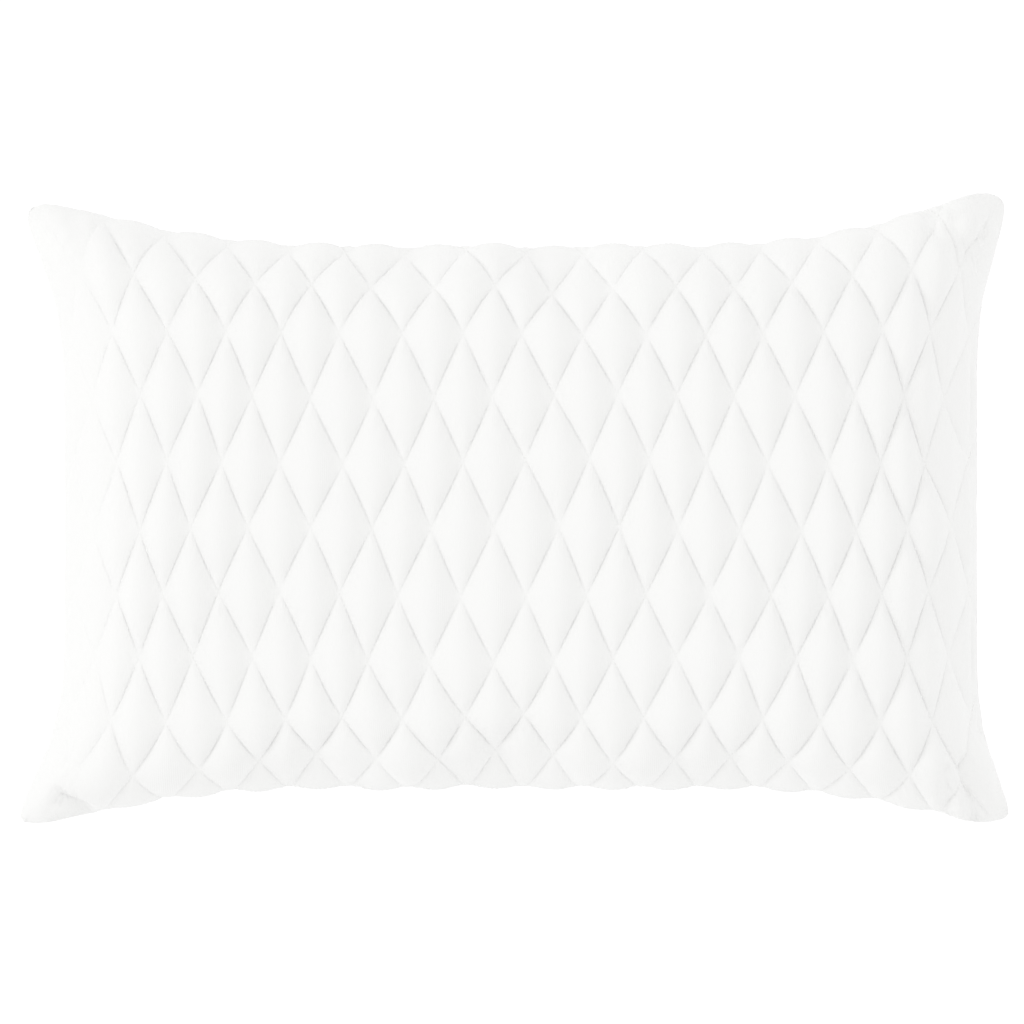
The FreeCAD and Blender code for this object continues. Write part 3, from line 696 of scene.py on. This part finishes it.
def add_stitching(curve, side, u, v):
    """One line of stitches through flat places, set out at half a stitch."""
    on_top = np.arange(len(u)) % 2
    lift = (STITCH_DIP * on_top - STITCH_DIP)[:, None]
    points = panel_points(side, u, v)
    if side == FRONT:
        lift = lift - fold_depth(points)[:, None]
    points += outward_at(side, u, v) * lift
    add_run(curve, points, DIP_RADIUS + (1 - DIP_RADIUS) * on_top)


def thread_piece(curve, material):
    """The finished thread as a mesh of its own, riding on the pillow."""
    drawn = add_object(curve.name, curve)
    mesh = bpy.data.meshes.new_from_object(drawn.evaluated_get(bpy.context.evaluated_depsgraph_get()))
    mesh.name = curve.name
    bpy.data.objects.remove(drawn)
    mesh.materials.clear()
    mesh.materials.append(material)
    thread = add_object(curve.name, mesh)
    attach(thread, "pillow")
    return thread


thread_white = sewing_thread()
for side, word in SIDES:
    curve = thread_curve(word + "_quilting_thread", THREAD_RADIUS)
    for way in (1, -1):
        slope = way * DIAMOND_WIDTH / DIAMOND_HEIGHT
        line_length = math.hypot(DIAMOND_WIDTH, DIAMOND_HEIGHT) / DIAMOND_HEIGHT * PANEL_WIDTH
        v = np.linspace(-1, 1, int(line_length / STITCH_STEP)) * (PANEL_WIDTH / 2 - EDGE_CLEAR)
        for number in range(-LATTICE_CELLS, LATTICE_CELLS + 1):
            u = STITCH_CROSSING[0] + number * DIAMOND_WIDTH + slope * (v - STITCH_CROSSING[1])
            inside = np.abs(u) < PANEL_LENGTH / 2 - EDGE_CLEAR
            if inside.sum() > FEWEST_STITCHES:
                add_stitching(curve, side, u[inside], v[inside])
    thread_piece(curve, thread_white)


# The inner pillow: a plain cotton liner, closed all round, stuffed with shredded foam. It lies inside the
# cover with a little room at the sides, and its own seam is a plain edge.
LINER_SCALE = (0.945, 0.925, 0.880)
INNER_MERGE = 1e-4
FOAM_SHRINK = 0.0012
FOAM_LUMPS = 0.0025
LUMP_RATE = 55.0


def inner_form(name, shrink, lumps):
    """A closed form of the filled cover's shape, smaller, with shallow lumps where loose foam shows."""
    bm, back_verts = panel_pair()
    centre = Vector((0, 0, SEAM_Z))
    for side in (FRONT, BACK):
        verts = [vert for vert in bm.verts if (vert in back_verts) == (side == BACK)]
        u = np.array([vert.co.x for vert in verts])
        v = np.array([vert.co.y for vert in verts])
        for vert, point in zip(verts, on_cover(cover[side], u, v)):
            away = Vector(point) - centre
            vert.co = centre + Vector([a * b for a, b in zip(away, LINER_SCALE)])
    bmesh.ops.remove_doubles(bm, verts=bm.verts, dist=INNER_MERGE)
    bm.normal_update()
    for vert in bm.verts:
        lump = noise.noise(vert.co * LUMP_RATE)
        vert.co -= vert.normal * (shrink + lumps * (0.5 + lump))
    for face in bm.faces:
        face.smooth = True
    form = add_form(name, bm)
    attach(form, "pillow")
    return form


def plain_cotton():
    """Plain woven cotton, unbleached."""
    material, tree = new_material("plain_woven_cotton")
    yarns = noise_socket(tree, object_places(tree), 1500.0, 3.0)
    add_shader(tree, {
        "Base Color": linear("#F4F3EF"), "Roughness": 0.9, "Normal": bump_socket(tree, yarns, 0.2, 0.0002)})
    return material


def shredded_foam():
    """Cream polyurethane foam in shreds of slightly different colour."""
    material, tree = new_material("shredded_polyurethane_foam")
    cells = add_node(tree, "ShaderNodeTexVoronoi", inputs={"Vector": object_places(tree), "Scale": 90.0})
    tint = add_node(tree, "ShaderNodeMix", {"data_type": "RGBA"}, {"Factor": cells.outputs["Distance"]})
    tint.inputs["A"].default_value = linear("#F3ECD8")
    tint.inputs["B"].default_value = linear("#E6DDC2")
    add_shader(tree, {"Base Color": tint.outputs[2], "Roughness": 0.95})
    return material


cotton = plain_cotton()
liner = inner_form("inner_pillow_liner", 0.0, 0.0)
liner.data.materials.append(cotton)
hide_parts("liner_front", "liner_back", "liner_seam")
foam = inner_form("shredded_foam_filling", FOAM_SHRINK, FOAM_LUMPS)
foam.data.materials.append(shredded_foam())
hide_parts("foam_filling")


# The cover's seam allowance: the panels' raw edges, overlocked together, stand inside the seam all round
# except along the zip. A strip of cloth with a zigzag of thread over its edge.
SEAM_CLEAR = 0.0012
ALLOWANCE_FULL = 0.0035
ALLOWANCE_DEPTH = 0.0080
ALLOWANCE_ROUND = 0.0004
ALLOWANCE_WALL = 0.0016
CORNER_SLIM = 0.8
SLIM_POWER = 12
EDGE_STEPS = 900
OVERLOCK_LENGTH = 1.9
OVERLOCK_STEP = 0.0012
OVERLOCK_RADIUS = 0.00025
OVERLOCK_IN = 0.0045
OVERLOCK_OUT = ALLOWANCE_DEPTH + 0.0006
OVERLOCK_LIFTS = (1, 0.4, -1, -0.4)


def seam_places(count):
    """Flat places once round the panel's edge, starting and ending at the ends of the zip."""
    zip_share = ZIP_HALF / (PANEL_WIDTH / 2)
    corners = [(1, zip_share), (1, 1), (-1, 1), (-1, -1), (1, -1), (1, -zip_share)]
    places = np.array(corners) * (PANEL_LENGTH / 2, PANEL_WIDTH / 2)
    runs = np.concatenate([[0], np.cumsum(np.linalg.norm(np.diff(places, axis=0), axis=1))])
    at = np.linspace(0, runs[-1], count)
    return np.interp(at, runs, places[:, 0]), np.interp(at, runs, places[:, 1])


def allowance_points(count, inset, lift):
    """Points along the seam, drawn in towards the pillow's middle and lifted off the seam's level.

    Both are less at the ears, where there is little room inside the cover."""
    u, v = seam_places(count)
    points = on_cover(cover[FRONT], u, v)
    slim = 1 - CORNER_SLIM * into_corner(u, v) ** SLIM_POWER
    along = np.gradient(points, axis=0)
    inward = np.column_stack([-along[:, 1], along[:, 0]])
    inward /= np.linalg.norm(inward, axis=1)[:, None]
    points[:, :2] += inward * (inset * slim)[:, None]
    points[:, 2] += lift * slim
    return points


def seam_allowance(name):
    """The strip of cloth inside the seam: one six-sided section carried along it."""
    section = [
        (SEAM_CLEAR, 0), (ALLOWANCE_FULL, 0.5), (ALLOWANCE_DEPTH, 0.5),
        (ALLOWANCE_DEPTH + ALLOWANCE_ROUND, 0), (ALLOWANCE_DEPTH, -0.5), (ALLOWANCE_FULL, -0.5)]
    bm = bmesh.new()
    rings = []
    for inset, share in section:
        points = allowance_points(EDGE_STEPS, inset, share * ALLOWANCE_WALL)
        rings.append([bm.verts.new(point) for point in points])
    for number, ring in enumerate(rings):
        following = rings[(number + 1) % len(rings)]
        for step in range(EDGE_STEPS - 1):
            bm.faces.new((ring[step], ring[step + 1], following[step + 1], following[step]))
    for end in (0, -1):
        bm.faces.new([ring[end] for ring in rings])
    bmesh.ops.recalc_face_normals(bm, faces=bm.faces)
    return add_form(name, bm)


allowance = seam_allowance("overlocked_seam_allowance")
allowance.data.materials.append(cotton)
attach(allowance, "pillow")
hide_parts("edge_seam")

overlock = thread_curve("overlock_thread", OVERLOCK_RADIUS)
overlock_count = int(OVERLOCK_LENGTH / OVERLOCK_STEP)
swing = np.arange(overlock_count) % len(OVERLOCK_LIFTS)
add_run(overlock, allowance_points(
    overlock_count, np.choose(swing, (OVERLOCK_IN, OVERLOCK_OUT, OVERLOCK_IN, OVERLOCK_OUT)),
    np.choose(swing, OVERLOCK_LIFTS) * (ALLOWANCE_WALL / 2 + OVERLOCK_RADIUS)))
thread_piece(overlock, thread_white)


# The zip's coils: nylon monofilament wound in flat loops, two rows that lie between each other.
COIL_PITCH = 0.0013
COIL_WIRE = 0.00027
COIL_STEPS = 12
COIL_LEADS = {FRONT: 0.25 * COIL_PITCH, BACK: 0.75 * COIL_PITCH}


def nylon_monofilament():
    """Slightly clear white nylon."""
    material, tree = new_material("white_nylon_monofilament")
    marks = noise_socket(tree, object_places(tree), 2500.0, 2.0)
    rough = add_node(tree, "ShaderNodeMapRange", inputs={"Value": marks, "To Min": 0.28, "To Max": 0.42})
    add_shader(tree, {
        "Base Color": linear("#F1F1EE"), "Roughness": rough.outputs["Result"], "Subsurface Weight": 0.1,
        "Subsurface Scale": 0.001})
    return material


nylon_white = nylon_monofilament()
for side, word in SIDES:
    low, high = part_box("zip_coil_" + word)
    middle_x, middle_z = (low.x + high.x) / 2, (low.z + high.z) / 2
    reach_x, reach_z = (high.x - low.x) / 2 - COIL_WIRE, (high.z - low.z) / 2 - COIL_WIRE
    turns = int((high.y - low.y) / COIL_PITCH)
    angle = np.arange(turns * COIL_STEPS + 1) * 2 * math.pi / COIL_STEPS
    lead = COIL_LEADS[side]
    coil = thread_curve("zip_coil_winding_" + word, COIL_WIRE)
    add_run(coil, np.column_stack([
        middle_x - reach_x * np.cos(angle),
        low.y + lead + angle / (2 * math.pi) * (COIL_PITCH - lead / turns),
        middle_z + reach_z * np.sin(angle)]))
    piece = thread_piece(coil, nylon_white)
    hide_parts("zip_coil_" + word)


# The CAD's own pieces of the zip and the label, each in its real material.

def woven_tape():
    """Woven polyester tape, its picks and ends crossing."""
    material, tree = new_material("woven_polyester_tape")
    places = object_places(tree)
    twill = add_node(tree, "ShaderNodeMath", {"operation": "MAXIMUM"})
    tree.links.new(bands(tree, places, "Y", 0.0006, 1.0), twill.inputs[0])
    tree.links.new(bands(tree, places, "Z", 0.0009, 0.6), twill.inputs[1])
    add_shader(tree, {
        "Base Color": linear("#F0F0EE"), "Roughness": 0.8, "Sheen Weight": 0.15,
        "Normal": bump_socket(tree, twill.outputs["Value"], 0.5, 0.0002)})
    return material


def nickel_plate():
    """Nickel plate, brushed along Y."""
    material, tree = new_material("brushed_nickel_plate")
    stretched = add_node(tree, "ShaderNodeMapping", inputs={
        "Vector": object_places(tree), "Scale": (900.0, 120.0, 900.0)})
    brushing = noise_socket(tree, stretched.outputs["Vector"], 2.0, 3.0)
    rough = add_node(tree, "ShaderNodeMapRange", inputs={"Value": brushing, "To Min": 0.22, "To Max": 0.42})
    add_shader(tree, {
        "Base Color": linear("#C9C7C2"), "Metallic": 1.0, "Roughness": rough.outputs["Result"],
        "Normal": bump_socket(tree, brushing, 0.15, 0.00005)})
    return material


def satin_ribbon():
    """White woven satin, the label's ribbon."""
    material, tree = new_material("white_woven_satin")
    floats = bands(tree, object_places(tree), "Y", 0.0004, 0.8)
    add_shader(tree, {
        "Base Color": linear("#FAFAF8"), "Roughness": 0.38, "Sheen Weight": 0.3,
        "Normal": bump_socket(tree, floats, 0.2, 0.0001)})
    return material


KEPT = (
    (woven_tape(), ("zip_tape_front", "zip_tape_back")),
    (thread_white, ("zip_stitching_front", "zip_stitching_back")),
    (nickel_plate(), ("zip_top_stops", "zip_bottom_stop", "zip_slider", "zip_pull")),
    (satin_ribbon(), ("care_label",)))
for material, nodes in KEPT:
    for node in nodes:
        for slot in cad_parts[node].material_slots:
            slot.material = material
